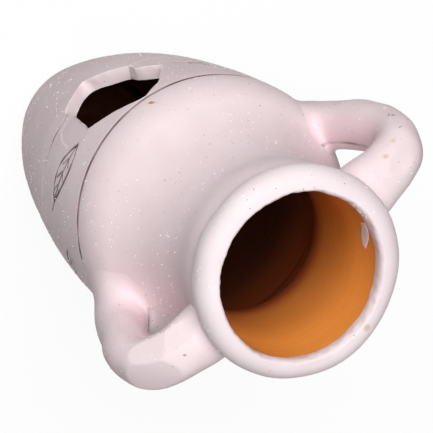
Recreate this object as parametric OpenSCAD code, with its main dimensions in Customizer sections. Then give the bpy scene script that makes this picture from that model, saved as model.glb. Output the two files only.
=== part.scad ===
// Amphora vase: a hand-made body of thrown sections luted together, with two pulled handles
// and a broken window in the belly. Millimetres, standing upright, +Z up.
// The origin is the centre of the foot's underside. The handles lie along X, the window faces -Y.

/* [Body] */
// Height over all, from the foot to the lip
total_h = 195; // [185:1:215]
// Largest outside diameter, at the shoulder line
body_d = 88; // [80:1:96]
// Height of the shoulder line, where the belly and the shoulder are joined
shoulder_z = 123; // [112:1:130]
// Outside diameter of the foot
foot_d = 48; // [38:1:58]
// Thickness of the thrown wall
wall = 5; // [3.5:0.5:7]
// Thickness of the floor
floor_t = 8; // [5:0.5:12]
// Bevel round the edge of the foot
foot_bevel = 2; // [0.5:0.5:4]

/* [Shoulder, neck and rim] */
// Radius of the round curve over the shoulder
shoulder_r = 22; // [18:1:26]
// Radius of the hollow curve from the shoulder into the neck
neck_curve_r = 16; // [12:1:20]
// Outside diameter of the neck
neck_d = 57; // [51:1:59]
// Outside diameter of the rolled rim
rim_d = 63; // [60:0.5:70]
// Height of the rolled rim
rim_h = 15; // [11:0.5:18]
// Radius of the small round lip between the mouth and the top of the roll
lip_r = 1.8; // [1:0.1:2.5]

/* [Handles] */
// Thickness of the round handles
handle_t = 14.5; // [11:0.5:17]
// Radius of the handles' outer bend, along its middle
elbow_r = 14; // [12:0.5:15]
// How far the middle of the handles' upper arm lies below the rim
handle_drop = 1.5; // [0:0.5:5]
// Reach of the left handle's middle from the vase's axis
left_reach = 52.5; // [50:0.5:60]
// Reach of the right handle's middle from the vase's axis
right_reach = 50; // [48:0.5:60]
// Height of the left handle's lower root above the shoulder line
left_root_rise = 3; // [1:0.5:12]
// Height of the right handle's lower root above the shoulder line
right_root_rise = 10; // [1:0.5:12]
// Thickness of the clay welds round the handles' upper roots
upper_weld_t = 2.5; // [1.5:0.5:4]
// Thickness of the clay welds round the handles' lower roots
lower_weld_t = 2.5; // [2:0.5:4]
// How far the lower welds lie towards the inner side of the handles
lower_weld_shift = 1.5; // [0.5:0.5:2]
// Length of the lower welds from the root up the handle
lower_weld_len = 16; // [13:0.5:20]
// Clearance between a weld and the handle inside it
weld_gap = 0.1; // [0.05:0.05:0.3]

/* [Incised lines and broken window] */
// Width of the incised lines
line_w = 1; // [0.6:0.2:2]
// Distance of the lower incised line below the shoulder line
line_drop = 41; // [30:1:60]
// Sideways place of the broken window's middle, seen from the front
window_x = -4; // [-8:1:8]
// Distance of the window's upper corner below the shoulder line
window_drop = 3; // [3:0.5:12]

/* [Joining coils inside] */
// Height of the smoothed coil in the corner of floor and wall
floor_coil_h = 6; // [3:0.5:10]
// Thickness of the coil pressed over the joint of belly and shoulder
seam_coil_t = 3; // [1.5:0.5:5]
// Height of that coil
seam_coil_h = 14; // [8:1:20]

/* [Hidden] */
$fn = 96;
slip = [0.93, 0.85, 0.86];
clay = [0.76, 0.44, 0.17];

body_r = body_d / 2;
neck_r = neck_d / 2;
rim_r = rim_d / 2;
bore_r = neck_r - wall;
rim_t = rim_r - bore_r;
rim_z = total_h - rim_h;
// The rim rises with the small lip from the mouth and falls with a large roll outside
roll_r = rim_t - lip_r;
lip_x = bore_r + lip_r;

// The belly is one arc, upright at the shoulder line and passing through the foot's edge
belly_fall = body_r - foot_d / 2;
belly_r = (shoulder_z * shoulder_z + belly_fall * belly_fall) / (2 * belly_fall);
// The shoulder is an S: a round arc and a hollow one that meet at this slope
shoulder_turn = acos(1 - (body_r - neck_r) / (shoulder_r + neck_curve_r));
neck_z = shoulder_z + (shoulder_r + neck_curve_r) * sin(shoulder_turn);

handle_r = handle_t / 2;
arm_z = rim_z - handle_drop;
// The elbow turns this far past straight down before the lower arm begins
elbow_past = 5;
// The lower arm runs on into the body by this much before it is trimmed to the surface
arm_run_in = 1.2 * handle_t;
// Spare reach of the cutting shapes past what they cut
spare = 5;
// Overlap of the outline's pieces, so that they make one face
lap = 1;
// Flat sides round a handle, and steps along its elbow and its lower arm
handle_sides = 24;
elbow_steps = 10;
arm_steps = 10;

// Corners of the broken window, from its middle across and from its upper corner down
window_corners = [
    [-1, 0], [6, -4], [13, -9], [16.5, -14], [15.5, -31], [15.7, -45], [12, -49], [4, -57],
    [1, -57], [-6.5, -46], [-9.5, -35], [-14, -31], [-16.5, -24], [-14.5, -19], [-9, -5], [-5, -1]
];

// Outside radius of the shoulder's round arc at height z
function shoulder_radius(z) =
    body_r - shoulder_r + sqrt(shoulder_r * shoulder_r - pow(z - shoulder_z, 2));

// Unit vector at an angle, in the plane of the handles
function heading(angle) = [cos(angle), sin(angle)];

// Centre of the elbow, where the lower arm starts, where it meets the body, and the arm's arc
function elbow_centre(reach) = [reach - elbow_r, arm_z - elbow_r];
function arm_start(reach) = elbow_centre(reach) + elbow_r * heading(-elbow_past);
function arm_root(rise) = [shoulder_radius(shoulder_z + rise), shoulder_z + rise];
function arm_radius(reach, rise) =
    let (chord = arm_root(rise) - arm_start(reach))
    (chord * chord) / (2 * (chord * -heading(-elbow_past)));
function arm_centre(reach, rise) = arm_start(reach) - arm_radius(reach, rise) * heading(-elbow_past);
function arm_root_angle(reach, rise) =
    let (spoke = arm_root(rise) - arm_centre(reach, rise))
    atan2(spoke[1], spoke[0]);
function arm_end_angle(reach, rise) =
    arm_root_angle(reach, rise) - arm_run_in / arm_radius(reach, rise) * 180 / PI;

// Filled half outline of the body, set in from the outside by t
module body_outline(t) {
    turn_x = body_r - shoulder_r + (shoulder_r - t) * cos(shoulder_turn);
    turn_z = shoulder_z + (shoulder_r - t) * sin(shoulder_turn);
    intersection() {
        translate([body_r - belly_r, shoulder_z]) circle(belly_r - t, $fn = 360);
        square([body_r, shoulder_z]);
    }
    intersection() {
        union() {
            translate([body_r - shoulder_r, shoulder_z]) circle(shoulder_r - t);
            translate([0, shoulder_z - lap]) square([body_r - shoulder_r, shoulder_r]);
        }
        translate([0, shoulder_z - lap]) square([body_r, turn_z - shoulder_z + lap]);
    }
    difference() {
        translate([0, turn_z - lap]) square([turn_x, neck_z - turn_z + lap]);
        translate([neck_r + neck_curve_r, neck_z]) circle(neck_curve_r + t);
    }
    translate([0, neck_z - lap]) square([neck_r - t, rim_z - neck_z + lap]);
}

// Ring of the body's wall between two heights
module wall_ring(low, high) {
    rotate_extrude() intersection() {
        difference() {
            body_outline(0);
            body_outline(wall);
        }
        translate([0, low]) square([body_r, high - low]);
    }
}

// Half outline of the rolled rim: lip, roll sloping outwards and under, and the wall they sit on
module rim_outline() {
    translate([lip_x, total_h - lip_r]) circle(lip_r);
    intersection() {
        translate([lip_x, total_h - roll_r]) circle(roll_r);
        translate([lip_x, rim_z]) square([roll_r, rim_h]);
    }
    translate([bore_r, rim_z]) square([lip_r + lap, rim_h - lip_r]);
    translate([bore_r, rim_z]) square([wall, rim_h - roll_r]);
}

// Everything inside the outer surface of body and rim, to trim what is luted on
module body_envelope() {
    rotate_extrude() {
        body_outline(0);
        rim_outline();
        translate([0, rim_z - lap]) square([lip_x, rim_h + lap]);
    }
}

// Round-bottomed ring cut at height z on the belly's arc
module incised_ring(z) {
    ring_r = body_r - belly_r + sqrt(belly_r * belly_r - pow(shoulder_z - z, 2));
    rotate_extrude() translate([ring_r, z]) circle(line_w / 2);
}

// Block with the broken window's outline, through the front wall
module window_block() {
    translate([window_x, 0, shoulder_z - window_drop])
        rotate([90, 0, 0]) linear_extrude(body_r + spare) polygon(window_corners);
}

// Stations along a handle's middle line, as [across, up, angle of the outward side]
function elbow_stations(reach) =
    [for (i = [0 : elbow_steps])
        let (angle = 90 - (90 + elbow_past) * i / elbow_steps)
        let (place = elbow_centre(reach) + elbow_r * heading(angle))
        [place[0], place[1], angle]];
function arm_stations(reach, rise) =
    [for (i = [1 : arm_steps])
        let (share = i / arm_steps)
        let (angle = (share - 1) * elbow_past + share * arm_end_angle(reach, rise))
        let (place = arm_centre(reach, rise) + arm_radius(reach, rise) * heading(angle))
        [place[0], place[1], angle]];

// Ring of points round a station
function station_ring(station) =
    [for (k = [0 : handle_sides - 1])
        let (turn = 360 * k / handle_sides)
        let (out = handle_r * cos(turn) * heading(station[2]))
        [station[0] + out[0], handle_r * sin(turn), station[1] + out[1]]];

// Round bar swept along stations
module swept_bar(stations) {
    count = len(stations);
    n = handle_sides;
    points = [for (station = stations) each station_ring(station)];
    sides = [for (i = [0 : count - 2]) for (k = [0 : n - 1])
        let (a = i * n + k)
        let (b = i * n + (k + 1) % n)
        each [[a, a + n, b], [b, a + n, b + n]]];
    first_cap = [for (k = [0 : n - 1]) k];
    last_cap = [for (k = [0 : n - 1]) count * n - 1 - k];
    polyhedron(points, concat(sides, [first_cap, last_cap]));
}

// One handle on the +X side: upper arm, elbow and lower arm in one sweep, trimmed to the body
module handle(reach, rise) {
    difference() {
        swept_bar(concat([[bore_r, arm_z, 90]], elbow_stations(reach), arm_stations(reach, rise)));
        body_envelope();
    }
}

// Room for a handle inside its welds: an arc in the plane of the handles
module bent_room(centre, radius, from, to) {
    translate([centre[0], 0, centre[1]]) rotate([90, 0, 0]) rotate([0, 0, from])
        rotate_extrude(angle = to - from) translate([radius, 0]) circle(handle_r + weld_gap);
}

// Swelling of clay round an axis along +Z, thickest at the origin and as thick as the handle at its ends
module swelling(thick, length) {
    swell_r = (length * length + thick * thick) / (2 * thick);
    rotate_extrude() intersection() {
        translate([handle_r + thick - swell_r, 0]) circle(swell_r);
        translate([0, -length]) square([handle_r + thick, 2 * length]);
    }
}

// Weld round a handle's straight upper arm, against the neck and the rim
module upper_weld(reach) {
    upper_arm = elbow_centre(reach)[0] - neck_r;
    difference() {
        translate([neck_r, 0, arm_z]) rotate([0, 90, 0]) swelling(upper_weld_t, upper_arm);
        translate([bore_r, 0, arm_z]) rotate([0, 90, 0])
            cylinder(h = rim_r + upper_arm, r = handle_r + weld_gap);
        body_envelope();
    }
}

// Weld round a handle's lower root, on the shoulder
module lower_weld(reach, rise) {
    root_angle = arm_root_angle(reach, rise);
    middle = arm_root(rise) - lower_weld_shift * heading(root_angle);
    difference() {
        translate([middle[0], 0, middle[1]]) rotate([0, -root_angle, 0])
            swelling(lower_weld_t, lower_weld_len);
        bent_room(arm_centre(reach, rise), arm_radius(reach, rise), arm_end_angle(reach, rise), -elbow_past);
        body_envelope();
    }
}

// Turns a right-hand piece to the left side
module on_left() {
    rotate([0, 0, 180]) children();
}

module floor() {
    color(slip) rotate_extrude() difference() {
        intersection() {
            body_outline(0);
            square([body_r, floor_t]);
        }
        translate([foot_d / 2, 0]) rotate(45) square(foot_bevel * sqrt(2), center = true);
    }
}

module belly() {
    color(slip) difference() {
        wall_ring(floor_t, shoulder_z);
        window_block();
        incised_ring(shoulder_z);
        incised_ring(shoulder_z - line_drop);
    }
}

module shoulder() {
    color(slip) difference() {
        wall_ring(shoulder_z, neck_z);
        incised_ring(shoulder_z);
    }
}

module neck() {
    color(slip) wall_ring(neck_z, rim_z);
}

module rim() {
    color(slip) rotate_extrude() rim_outline();
}

module handle_left() {
    color(slip) on_left() handle(left_reach, left_root_rise);
}

module handle_right() {
    color(slip) handle(right_reach, right_root_rise);
}

module left_upper_weld() {
    color(slip) on_left() upper_weld(left_reach);
}

module right_upper_weld() {
    color(slip) upper_weld(right_reach);
}

module left_lower_weld() {
    color(slip) on_left() lower_weld(left_reach, left_root_rise);
}

module right_lower_weld() {
    color(slip) lower_weld(right_reach, right_root_rise);
}

// Coil smoothed into the corner between floor and wall, hollow on its inner side
module floor_coil() {
    corner_r = body_r - belly_r + sqrt(pow(belly_r - wall, 2) - pow(shoulder_z - floor_t, 2));
    color(clay) rotate_extrude() difference() {
        intersection() {
            body_outline(wall);
            translate([corner_r - floor_coil_h, floor_t]) square([2 * floor_coil_h, floor_coil_h]);
        }
        translate([corner_r - floor_coil_h, floor_t + floor_coil_h]) circle(floor_coil_h);
    }
}

// Coil pressed flat over the inside of the joint, broken away at the window
module body_seam_coil() {
    coil_r = (pow(seam_coil_h / 2, 2) + seam_coil_t * seam_coil_t) / (2 * seam_coil_t);
    color(clay) difference() {
        rotate_extrude() intersection() {
            body_outline(wall);
            translate([body_r - wall - seam_coil_t + coil_r, shoulder_z]) circle(coil_r);
        }
        window_block();
    }
}

floor();
belly();
shoulder();
neck();
rim();
handle_left();
handle_right();
left_upper_weld();
right_upper_weld();
left_lower_weld();
right_lower_weld();
floor_coil();
body_seam_coil();
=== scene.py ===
# %% [markdown]
# # A slip-coated amphora vase
# The vase is a small thrown and hand-joined amphora: a long belly on a narrow foot, a round
# shoulder, a short neck with a rolled rim, and two fat handles. A pale pink slip covers the
# outside, the inside is bare orange clay, and a piece of the front wall is broken out.
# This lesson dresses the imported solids. Every piece is a surface worked out with numpy in the
# same frame as the solids, in millimetres, and turned to metres when its mesh is made.

import math

import bmesh
import bpy
import numpy as np
from mathutils import Matrix, Vector


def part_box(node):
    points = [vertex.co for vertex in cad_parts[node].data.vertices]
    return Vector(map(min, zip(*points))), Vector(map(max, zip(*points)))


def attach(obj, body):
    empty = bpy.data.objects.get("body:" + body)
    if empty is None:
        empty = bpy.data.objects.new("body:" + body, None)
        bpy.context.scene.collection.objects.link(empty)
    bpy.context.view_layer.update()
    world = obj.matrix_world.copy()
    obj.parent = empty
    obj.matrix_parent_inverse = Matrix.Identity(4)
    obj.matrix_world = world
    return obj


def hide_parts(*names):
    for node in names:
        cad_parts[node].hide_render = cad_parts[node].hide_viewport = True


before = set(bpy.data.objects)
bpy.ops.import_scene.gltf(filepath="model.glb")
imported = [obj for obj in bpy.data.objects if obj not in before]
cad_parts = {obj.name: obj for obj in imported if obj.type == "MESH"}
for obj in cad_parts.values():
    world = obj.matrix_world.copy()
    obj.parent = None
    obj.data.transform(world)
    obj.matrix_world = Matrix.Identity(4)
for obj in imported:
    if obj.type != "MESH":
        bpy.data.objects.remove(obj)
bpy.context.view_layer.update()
MM = 0.001
BODY = "root"
print("solids in the frame:", sorted(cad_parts))

# %% [markdown]
# ## Sizes
# The solids give the sizes: the greatest radius of the belly, the height of its upper edge, the
# neck, the rim and the handles are all read from their boxes. What a box cannot tell, such as
# the thickness of the wall, is named here once.

# %% Sizes read from the solids


def node_box(name):
    """Lowest and highest corner of a solid, in millimetres."""
    low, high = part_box(name)
    return np.array(low) / MM, np.array(high) / MM


body_r = node_box("belly")[1][0]
seam_z = node_box("belly")[1][2]
neck_r = node_box("neck")[1][0]
neck_z = node_box("neck")[0][2]
rim_r = node_box("rim")[1][0]
rim_z = node_box("rim")[0][2]
mouth_z = node_box("rim")[1][2]
floor_top = node_box("floor")[1][2]

wall = 5.0
foot_r = 24.0
foot_round = 2.0
shoulder_r = 22.0
collar_drop = 14.0

bore_r = neck_r - wall
belly_fall = body_r - foot_r
belly_arc = (seam_z**2 + belly_fall**2) / (2 * belly_fall)
collar_z = rim_z - collar_drop
print(f"belly radius {body_r:.1f}, bore radius {bore_r:.1f}, throat at {neck_z:.1f}")

# %% [markdown]
# ## The camera
# The photograph looks steeply down on the front of the vase with the camera turned on its side,
# so the mouth is at the lower right. The camera is set first. A long lens keeps the perspective of
# the photograph.

# %% Camera
frame_px = 433
focal_px = 2000
sensor_mm = 36.0
camera_place = Vector((82.3, -269.7, 681.1)) * MM
camera_back = Vector((0.1327, -0.4343, 0.8910)).normalized()
camera_up = Vector((-0.6478, -0.7184, -0.2536))


def add_object(name, data):
    """New object in the scene that holds a camera, a mesh or a lamp."""
    thing = bpy.data.objects.new(name, data)
    bpy.context.scene.collection.objects.link(thing)
    return thing


camera_right = camera_up.cross(camera_back).normalized()
camera_up = camera_back.cross(camera_right)
camera_data = bpy.data.cameras.new("camera")
camera_data.sensor_width = sensor_mm
camera_data.lens = sensor_mm * focal_px / frame_px
camera = add_object("camera", camera_data)
turn = Matrix((camera_right, camera_up, camera_back)).transposed().to_4x4()
camera.matrix_world = Matrix.Translation(camera_place) @ turn
bpy.context.scene.camera = camera
print(f"camera {camera_data.lens:.0f} mm, {camera_place.length:.2f} m from the foot")

# %% [markdown]
# ## Grids and meshes
# A surface here is an array of points, rows by columns. Turning it into faces is the same every
# time: four neighbours make a quad, and a closed direction joins its last line to its first.
# The faces point outwards when the columns run round the vase to the right, seen from the
# front, and the rows climb the outside. Where the rows run the other way, the faces are turned.

# %% Faces of a grid


def grid_faces(rows, columns, close_rows=False, close_columns=True):
    """Quads of a grid of points that are numbered row by row."""
    row = np.arange(rows if close_rows else rows - 1)
    column = np.arange(columns if close_columns else columns - 1)
    row, column = np.meshgrid(row, column, indexing="ij")
    next_row = (row + 1) % rows
    next_column = (column + 1) % columns
    corners = [
        row * columns + column,
        row * columns + next_column,
        next_row * columns + next_column,
        next_row * columns + column,
    ]
    return np.stack(corners, axis=-1).reshape(-1, 4)


def fan_faces(ring, centre, flip=False):
    """Triangles from a ring of indices to one centre index, to close a pole or an end."""
    beside = np.roll(ring, -1)
    middle = np.full_like(ring, centre)
    order = [beside, ring, middle] if flip else [ring, beside, middle]
    return np.stack(order, axis=-1)


def loop_faces(points, turned=False):
    """Quads of a grid that closes both ways, as a profile that is a loop makes when it is spun."""
    faces = grid_faces(*points.shape[:2], close_rows=True)
    return [faces[:, ::-1] if turned else faces]


def capped_tube(points, turned=False):
    """Points and faces of a tube of rows whose first and last rows are closed by fans to their
    middles."""
    rows, columns = points.shape[:2]
    total = rows * columns
    ends = np.stack([points[0].mean(axis=0), points[-1].mean(axis=0)])
    sides = grid_faces(rows, columns)
    faces = [
        sides[:, ::-1] if turned else sides,
        fan_faces(np.arange(columns), total, flip=not turned),
        fan_faces(np.arange(total - columns, total), total + 1, flip=turned),
    ]
    return np.concatenate([points.reshape(-1, 3), ends]), faces


# %% Pieces


def mesh_object(name, points, faces, materials):
    """Object with a mesh from points in millimetres and a list of face arrays."""
    mesh = bpy.data.meshes.new(name)
    places = (points.reshape(-1, 3) * MM).tolist()
    mesh.from_pydata(places, [], [face for block in faces for face in block.tolist()])
    for material in materials:
        mesh.materials.append(material)
    return add_object(name, mesh)


def make_piece(name, points, faces, materials, slot, stands_for=(), marks=None, paint=None):
    """Smooth object that rides on the vase. marks are named values on its points, and paint is
    the material index of each face."""
    piece = mesh_object(name, points, faces, materials)
    mesh = piece.data
    for label, values in (marks or {}).items():
        attribute = mesh.attributes.new(label, "FLOAT", "POINT")
        attribute.data.foreach_set("value", np.asarray(values, np.float32).ravel())
    if paint is not None:
        mesh.polygons.foreach_set("material_index", np.asarray(paint, np.int32))
    mesh.shade_smooth()
    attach(piece, BODY)
    if stands_for:
        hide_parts(*stands_for)
    print(f"{name}: {len(mesh.vertices)} points, {len(mesh.polygons)} faces")
    return piece


def set_sharp(piece, degrees):
    """Keeps edges crisp where the faces turn by more than this angle."""
    piece.data.set_sharp_from_angle(angle=math.radians(degrees))


# %% [markdown]
# ## The unevenness of a hand-made pot
# Nothing on the vase is quite round. A smooth random field, the same for every piece, pushes the
# surfaces in and out by a fraction of a millimetre, so that neighbours stay joined. It is a sum
# of sine waves with seeded directions, which needs no tables and repeats on every run.

# %% Smooth random field
body_swells = ((0.22, 55, 3), (0.07, 17, 4))


def unevenness(points, wavelength, seed):
    """Sum of twelve sine waves of one wavelength whose directions and phases are drawn from a
    seeded generator, scaled to about -1 to 1."""
    draw = np.random.default_rng(seed)
    directions = draw.normal(size=(12, 3))
    directions /= np.linalg.norm(directions, axis=1, keepdims=True)
    phases = draw.uniform(0, 2 * np.pi, 12)
    waves = np.sin(points @ directions.T * (2 * np.pi / wavelength) + phases)
    return waves.sum(axis=-1) / 4


def waver(points, swells):
    """Sum of smooth random fields, each given as push in millimetres, wavelength and seed."""
    return sum(push * unevenness(points, wavelength, seed) for push, wavelength, seed in swells)


def hand_made(points):
    """Push of the potter's hand on the body: long swells and shorter dimples."""
    return waver(points, body_swells)


def soft_step(value, low, high):
    """0 below low, 1 above high and a smooth S between them."""
    share = np.clip((value - low) / (high - low), 0, 1)
    return share * share * (3 - 2 * share)


print("body swells of", [push for push, _, _ in body_swells], "mm")

# %% [markdown]
# ## Profiles
# The body is a surface of revolution. Its outline is a chain of arcs: one long arc for the belly,
# a round arc and a hollow arc for the shoulder, then the straight neck. Each row of a profile
# holds radius, height and the outward direction, so the inside wall is the same outline moved in
# by the wall's thickness.

# %% Outline of the body


def belly_rows(height):
    """Belly: an arc that is upright at the seam and passes through the foot's edge."""
    rise = height - seam_z
    out = np.sqrt(belly_arc**2 - rise**2)
    return np.stack([body_r - belly_arc + out, height, out / belly_arc, rise / belly_arc], axis=1)


def round_rows(angle):
    """Round arc of the shoulder, its angle counted up from the seam."""
    radius = body_r - shoulder_r + shoulder_r * np.cos(angle)
    height = seam_z + shoulder_r * np.sin(angle)
    return np.stack([radius, height, np.cos(angle), np.sin(angle)], axis=1)


def hollow_arc(end_z):
    """Turn and radius of the hollow arc that leaves the round arc smoothly and is upright at end_z."""
    turn = 2 * math.atan2(body_r - neck_r, end_z - seam_z)
    return turn, (end_z - seam_z) / math.sin(turn) - shoulder_r


def hollow_rows(angle, end_z):
    """Hollow arc from the shoulder into the neck, its angle falling to zero at end_z."""
    hollow_r = hollow_arc(end_z)[1]
    radius = neck_r + hollow_r - hollow_r * np.cos(angle)
    height = end_z - hollow_r * np.sin(angle)
    return np.stack([radius, height, np.cos(angle), np.sin(angle)], axis=1)


def neck_rows(height):
    """Upright neck."""
    flat = np.zeros_like(height)
    return np.stack([flat + neck_r, height, flat + 1, flat], axis=1)


def moved_in(rows, depth):
    """The same rows, moved inwards along their outward direction."""
    radius, height, out, up = rows.T
    return np.stack([radius - depth * out, height - depth * up, out, up], axis=1)


# %% Turning an outline


def round_axis(radius, turns, height):
    """Points round the axis: (radius sin t, -radius cos t, height). Turn zero is the front."""
    x = radius * np.sin(turns)
    return np.stack([x, -radius * np.cos(turns), height + 0 * x], axis=-1)


def spin(rows, turns, push=0.0):
    """Surface of revolution: each row round the axis, pushed along its outward direction."""
    radius, height, out, up = (column[:, None] for column in rows.T)
    return round_axis(radius + push * out, turns, height + push * up)


def body_radius(height):
    """Outside radius of belly, shoulder and neck at a height."""
    rise = np.asarray(height, float) - seam_z
    belly = body_r - belly_arc + np.sqrt(np.maximum(belly_arc**2 - rise**2, 0))
    rounded = body_r - shoulder_r + np.sqrt(np.maximum(shoulder_r**2 - rise**2, 0))
    below = collar_z - seam_z - rise
    turn, hollow_r = hollow_arc(collar_z)
    hollow = neck_r + hollow_r - np.sqrt(np.maximum(hollow_r**2 - below**2, 0))
    turn_rise = shoulder_r * math.sin(turn)
    upper = np.where(rise < turn_rise, rounded, np.where(below > 0, hollow, neck_r))
    return np.where(rise < 0, belly, upper)


def spaced(zones):
    """Values that run through zones of (start, end, step), each value once."""
    parts = [np.linspace(a, b, max(2, round((b - a) / step) + 1))[:-1] for a, b, step in zones]
    return np.concatenate(parts)


print(f"outside radius at the throat {float(body_radius(neck_z)):.1f} mm")

# %% [markdown]
# ## Shared effects for the finishes
# Two effects serve both the slip and the bare clay, so each is a node group. One makes pinholes
# and sandy specks from small Voronoi cells, where a random share of the cells holds a dot. The
# other makes soft blotches of tone. Groups give only values, and the shader stays in the material.

# %% Node helpers


def add_node(tree, kind, **settings):
    """Adds a node and sets its properties. Settings named in_X set the input called X."""
    node = tree.nodes.new(kind)
    for key, value in settings.items():
        if key.startswith("in_"):
            node.inputs[key[3:].replace("_", " ")].default_value = value
        else:
            setattr(node, key, value)
    return node


def feed(tree, socket, value):
    """Links an output to an input socket, or sets the input to a plain number or colour."""
    if isinstance(value, bpy.types.NodeSocket):
        tree.links.new(value, socket)
    elif socket.type == "RGBA":
        socket.default_value = (*value, 1.0)
    else:
        socket.default_value = value


def calculate(tree, operation, *values):
    """Math node on sockets or plain numbers; returns its output socket."""
    node = add_node(tree, "ShaderNodeMath", operation=operation)
    for socket, value in zip(node.inputs, values):
        feed(tree, socket, value)
    return node.outputs[0]


def ramp(tree, value, low, high, start=0.0, end=1.0):
    """Map Range with a smooth S from start at low to end at high; returns its output."""
    node = add_node(tree, "ShaderNodeMapRange", interpolation_type="SMOOTHSTEP")
    tree.links.new(value, node.inputs["Value"])
    for label, limit in (("From Min", low), ("From Max", high), ("To Min", start), ("To Max", end)):
        node.inputs[label].default_value = limit
    return node.outputs[0]


def tint(tree, factor, colour, over):
    """Mixes a colour, plain or linked, over another by a factor; returns the colour output."""
    node = add_node(tree, "ShaderNodeMix", data_type="RGBA")
    tree.links.new(factor, node.inputs["Factor"])
    feed(tree, node.inputs[6], over)
    feed(tree, node.inputs[7], colour)
    return node.outputs[2]


def new_group(name, inputs, outputs):
    """Empty node group with a vector input, float inputs of given values and float outputs."""
    group = bpy.data.node_groups.new(name, "ShaderNodeTree")
    group.interface.new_socket("Vector", in_out="INPUT", socket_type="NodeSocketVector")
    for label, value in inputs.items():
        socket = group.interface.new_socket(label, in_out="INPUT", socket_type="NodeSocketFloat")
        socket.default_value = value
    for label in outputs:
        group.interface.new_socket(label, in_out="OUTPUT", socket_type="NodeSocketFloat")
    return group, group.nodes.new("NodeGroupInput"), group.nodes.new("NodeGroupOutput")


# %% Dots group: pinholes and sandy specks


def dots_group():
    """Round dots: one in some of the cells of a Voronoi pattern, with a random size."""
    inputs = {"Cells per metre": 300.0, "Share": 0.2, "Radius": 0.1}
    group, given, result = new_group("dots", inputs, ["Dots"])
    cells = add_node(group, "ShaderNodeTexVoronoi", feature="F1")
    group.links.new(given.outputs["Vector"], cells.inputs["Vector"])
    group.links.new(given.outputs["Cells per metre"], cells.inputs["Scale"])
    draw = add_node(group, "ShaderNodeSeparateColor")
    group.links.new(cells.outputs["Color"], draw.inputs["Color"])
    chosen = calculate(group, "LESS_THAN", draw.outputs["Red"], given.outputs["Share"])
    size = calculate(group, "MULTIPLY_ADD", draw.outputs["Green"], 0.7, 0.5)
    reach = calculate(group, "MULTIPLY", size, given.outputs["Radius"])
    share = calculate(group, "DIVIDE", cells.outputs["Distance"], reach)
    disc = ramp(group, share, 0.55, 1.0, 1.0, 0.0)
    group.links.new(calculate(group, "MULTIPLY", disc, chosen), result.inputs["Dots"])
    return group


dots = dots_group()
print("dots group:", len(dots.nodes), "nodes")

# %% Blotches group: soft changes of tone and the fine tooth of the surface


def blotches_group():
    """Two scales of noise: broad patches of tone, and a fine sandy tooth for the bump."""
    inputs = {"Patches per metre": 25.0, "Grains per metre": 1500.0}
    outputs = ["Patches", "Tooth"]
    group, given, result = new_group("blotches", inputs, outputs)
    for label, scale, detail in zip(outputs, inputs, (3.0, 2.0)):
        noise = add_node(group, "ShaderNodeTexNoise", in_Detail=detail, in_Roughness=0.6)
        group.links.new(given.outputs["Vector"], noise.inputs["Vector"])
        group.links.new(given.outputs[scale], noise.inputs["Scale"])
        group.links.new(noise.outputs[0], result.inputs[label])
    return group


blotches = blotches_group()
print("node groups:", [group.name for group in bpy.data.node_groups])

# %% Parts that every finish has


def place_group(tree, group, coordinates, **values):
    """Places a node group, feeds it coordinates and sets its other inputs."""
    node = add_node(tree, "ShaderNodeGroup", node_tree=group)
    tree.links.new(coordinates, node.inputs["Vector"])
    for key, value in values.items():
        node.inputs[key.replace("_", " ")].default_value = value
    return node


def start_material(name):
    """New material; returns it with its tree and its Object coordinates."""
    material = bpy.data.materials.new(name)
    material.use_nodes = True
    tree = material.node_tree
    return material, tree, add_node(tree, "ShaderNodeTexCoord").outputs["Object"]


def join_shader(tree, colour, rough, height, strength, distance, shine):
    """Links colour, roughness and the height of the bump to the shader and sets its gloss."""
    shader = tree.nodes["Principled BSDF"]
    bump = add_node(tree, "ShaderNodeBump", in_Strength=strength, in_Distance=distance)
    tree.links.new(height, bump.inputs["Height"])
    tree.links.new(colour, shader.inputs["Base Color"])
    tree.links.new(rough, shader.inputs["Roughness"])
    tree.links.new(bump.outputs["Normal"], shader.inputs["Normal"])
    shader.inputs["Specular IOR Level"].default_value = shine


# %% [markdown]
# ## The slip
# Slip is a thin wash of pale pink clay, matt and slightly sandy. It is painted over the outside,
# over the rim and over the broken edges. Tone drifts softly over the pot, pinholes let dark clay
# through, tiny white grains lie in it, and darker dots among them are painted grain shadows.
# Incised lines hold a mauve stain and a few chips show bare clay: the pieces carry those as named
# values on their points. The pinker, darker slip near the handles is partly painted shade, and so
# is the dark line in a handle's crease.

# %% Slip material
slip_pale = (0.83, 0.70, 0.72)
slip_deep = (0.79, 0.645, 0.67)
break_pale = (0.95, 0.82, 0.83)
break_deep = (0.92, 0.78, 0.80)
# The rim's slip is paler and less pink than the rest: a painted sheen for the whiter look of the lit rim.
rim_pale = (0.85, 0.75, 0.77)
rim_deep = (0.82, 0.70, 0.725)
# Pinker, darker slip where the handles meet the neck: partly its own tone, partly painted shade.
slip_pink_shade = (0.80, 0.59, 0.63)
line_stain = (0.12, 0.052, 0.06)
pinhole_brown = (0.26, 0.18, 0.16)
grain_white = (0.96, 0.89, 0.90)
# Darker dots in the slip are painted shadows of its grains.
grain_shadow_paint = (0.60, 0.45, 0.475)
chip_brown = (0.42, 0.25, 0.10)
old_stain = (0.50, 0.38, 0.16)


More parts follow.
